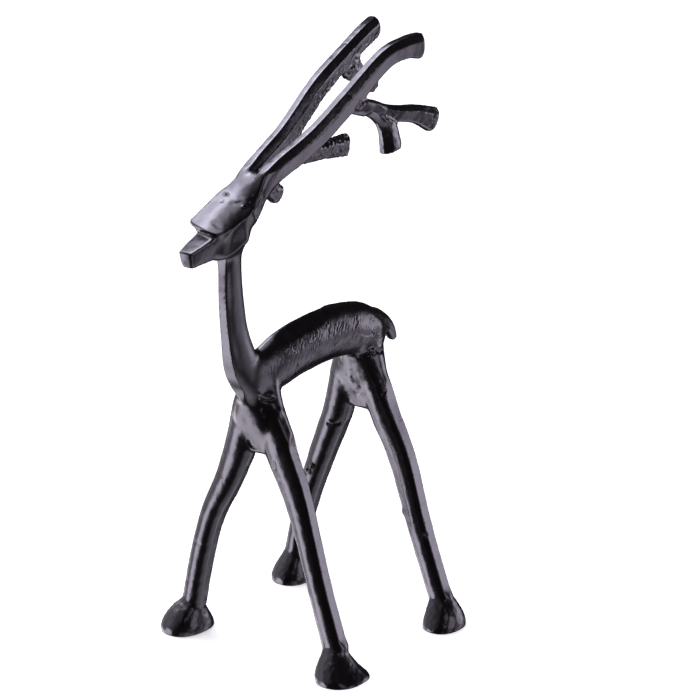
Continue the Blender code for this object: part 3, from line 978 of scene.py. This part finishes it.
# The studio: a wide pale floor and a world of round soft lights. A light has a compass angle from the
# animal's front towards its left, a height angle, a radius and a soft edge, in degrees, then a strength and
# a tint.
studio = {
    "floorSize": 30,
    "floorColour": (0.86, 0.86, 0.86, 1),
    "floorGlow": 0.53,
    "ambient": (0.028, 0.024, 0.024),
    "lights": {
        "overhead left": (-92, 58, 22, 9, 2.9, (0.96, 0.97, 1.08)),
        "overhead core": (-125, 66, 11, 9, 2.6, (0.97, 0.98, 1.05)),
        "top": (-150, 82, 20, 9, 2.0, (0.97, 0.98, 1.06)),
        "top front": (-24, 71, 14, 10, 0.9, (0.97, 0.98, 1.06)),
        "left strip": (-110, 24, 9, 7, 2.0, (0.98, 0.97, 1.06)),
        "left broad": (-80, 4, 40, 12, 0.6, (1, 0.95, 1.04)),
        "left low": (-98, -33, 12, 7, 2.2, (1, 0.97, 1.05)),
        "left lower": (-64, -43, 12, 8, 2.6, (1, 0.98, 1.04)),
        "front low": (-42, -24, 11, 6, 3.7, (1, 0.98, 1.05)),
        "back right": (152, 2, 12, 7, 2.1, (1, 0.96, 1.08)),
        "back right broad": (148, -18, 16, 9, 0.66, (1, 0.95, 1.07)),
        "back right low": (147, -29, 6, 5, 0.42, (1, 0.95, 1.07)),
        "back low": (134, -59, 22, 12, 0.6, (1, 0.96, 1.06)),
        "right level": (104, 0, 15, 6, 1.05, (1, 0.96, 1.07)),
        "right strip": (66, 22, 8, 6, 0.6, (1, 0.97, 1.04)),
        "front left": (-26, 24, 26, 14, 0.24, (1, 0.97, 1.03)),
        "below": (84, -62, 30, 14, 0.6, (1, 0.96, 1.04)),
    },
}


def direction(compass, height):
    compass, height = math.radians(compass), math.radians(height)
    return (math.sin(compass) * math.cos(height), -math.cos(compass) * math.cos(height), math.sin(height))


floorMesh = bpy.data.meshes.new("floor")
half = studio["floorSize"] / 2
floorCorners = [(-half, -half, 0), (half, -half, 0), (half, half, 0), (-half, half, 0)]
floorMesh.from_pydata(floorCorners, [], [(0, 1, 2, 3)])
floor = bpy.data.objects.new("floor", floorMesh)
bpy.context.scene.collection.objects.link(floor)
floorMaterial = bpy.data.materials.new("pale floor")
floorMaterial.use_nodes = True
floorShader = floorMaterial.node_tree.nodes["Principled BSDF"]
floorShader.inputs["Base Color"].default_value = studio["floorColour"]
floorShader.inputs["Roughness"].default_value = 1
floorShader.inputs["Specular IOR Level"].default_value = 0
floorShader.inputs["Emission Color"].default_value = (1, 1, 1, 1)
floorShader.inputs["Emission Strength"].default_value = studio["floorGlow"]
floorMesh.materials.append(floorMaterial)
floor.visible_glossy = False
floor.visible_shadow = False
floor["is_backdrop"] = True

world = bpy.data.worlds.new("studio")
bpy.context.scene.world = world
world.use_nodes = True
world.node_tree.nodes.clear()
nodes = Nodes(world.node_tree)
towardsSky = nodes.add("ShaderNodeTexCoord", output="Generated")
total = nodes.add("ShaderNodeCombineXYZ", {}, dict(enumerate(studio["ambient"])))
for compass, height, radius, edge, strength, tint in studio["lights"].values():
    towards = nodes.add("ShaderNodeVectorMath", {"operation": "DOT_PRODUCT"},
                        {0: towardsSky, 1: direction(compass, height)}, output="Value")
    outer = math.cos(math.radians(radius + edge))
    inner = math.cos(math.radians(max(radius - edge, 0)))
    disc = nodes.add("ShaderNodeMapRange", {"interpolation_type": "SMOOTHSTEP"},
                     {"Value": towards, "From Min": outer, "From Max": inner})
    total = nodes.add("ShaderNodeVectorMath", {"operation": "MULTIPLY_ADD"},
                      {0: nodes.add("ShaderNodeCombineXYZ", {}, {0: disc, 1: disc, 2: disc}),
                       1: [strength * part for part in tint], 2: total})
background = nodes.add("ShaderNodeBackground", {}, {"Color": total, "Strength": 1})
nodes.add("ShaderNodeOutputWorld", {}, {"Surface": background})

# Angles in degrees, and the rest in millimetres
cameraSettings = {
    "compass": 38.622,
    "height": 19.315,
    "distance": 2283.75,
    "target": (16.83, 30.07, 195.62),
    "lens": 180,
    "sensor": 36,
    "farthest": 100000,
}
cameraData = bpy.data.cameras.new("camera")
cameraData.lens = cameraSettings["lens"]
cameraData.sensor_width = cameraSettings["sensor"]
cameraData.clip_end = cameraSettings["farthest"] * mm
camera = bpy.data.objects.new("camera", cameraData)
lookedFrom = Vector(direction(cameraSettings["compass"], cameraSettings["height"]))
camera.location = (Vector(cameraSettings["target"]) + lookedFrom * cameraSettings["distance"]) * mm
camera.rotation_euler = lookedFrom.to_track_quat("Z", "Y").to_euler()
bpy.context.scene.collection.objects.link(camera)
bpy.context.scene.camera = camera
bpy.context.scene.view_settings.view_transform = "Standard"
print("studio set")

low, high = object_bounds()
